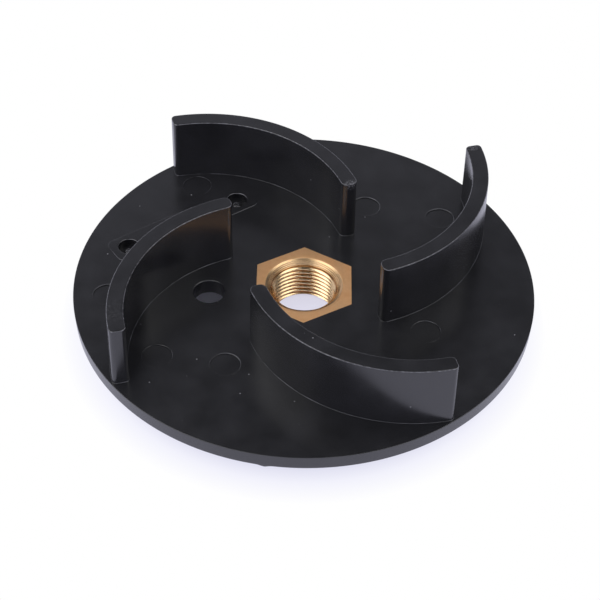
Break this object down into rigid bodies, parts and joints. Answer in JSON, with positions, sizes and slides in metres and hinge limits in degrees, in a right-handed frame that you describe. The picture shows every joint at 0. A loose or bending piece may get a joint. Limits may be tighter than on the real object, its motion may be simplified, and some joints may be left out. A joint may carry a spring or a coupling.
{
  "type": "pump impeller",
  "caption": "Open centrifugal pump impeller: a flat disc with swept-back curved blades, moulded round a threaded brass hexagon that screws on to the shaft.",
  "frame": {"origin": "on the axis at the rear face of the hub and insert, where the impeller seats on its shaft", "axes": "+Z along the axis, from the shaft side to the blade side and the pump's inlet; +X and +Y across the disc, with two of the hexagon's corners on Y"},
  "size_m": [0.14, 0.14, 0.0349],
  "materials": {
    "black_plastic": "semi-gloss moulded",
    "brass": "turned"
  },
  "bodies": {
    "root": {"impeller_body": "black_plastic", "threaded_insert": "brass"}
  },
  "joints": []
}
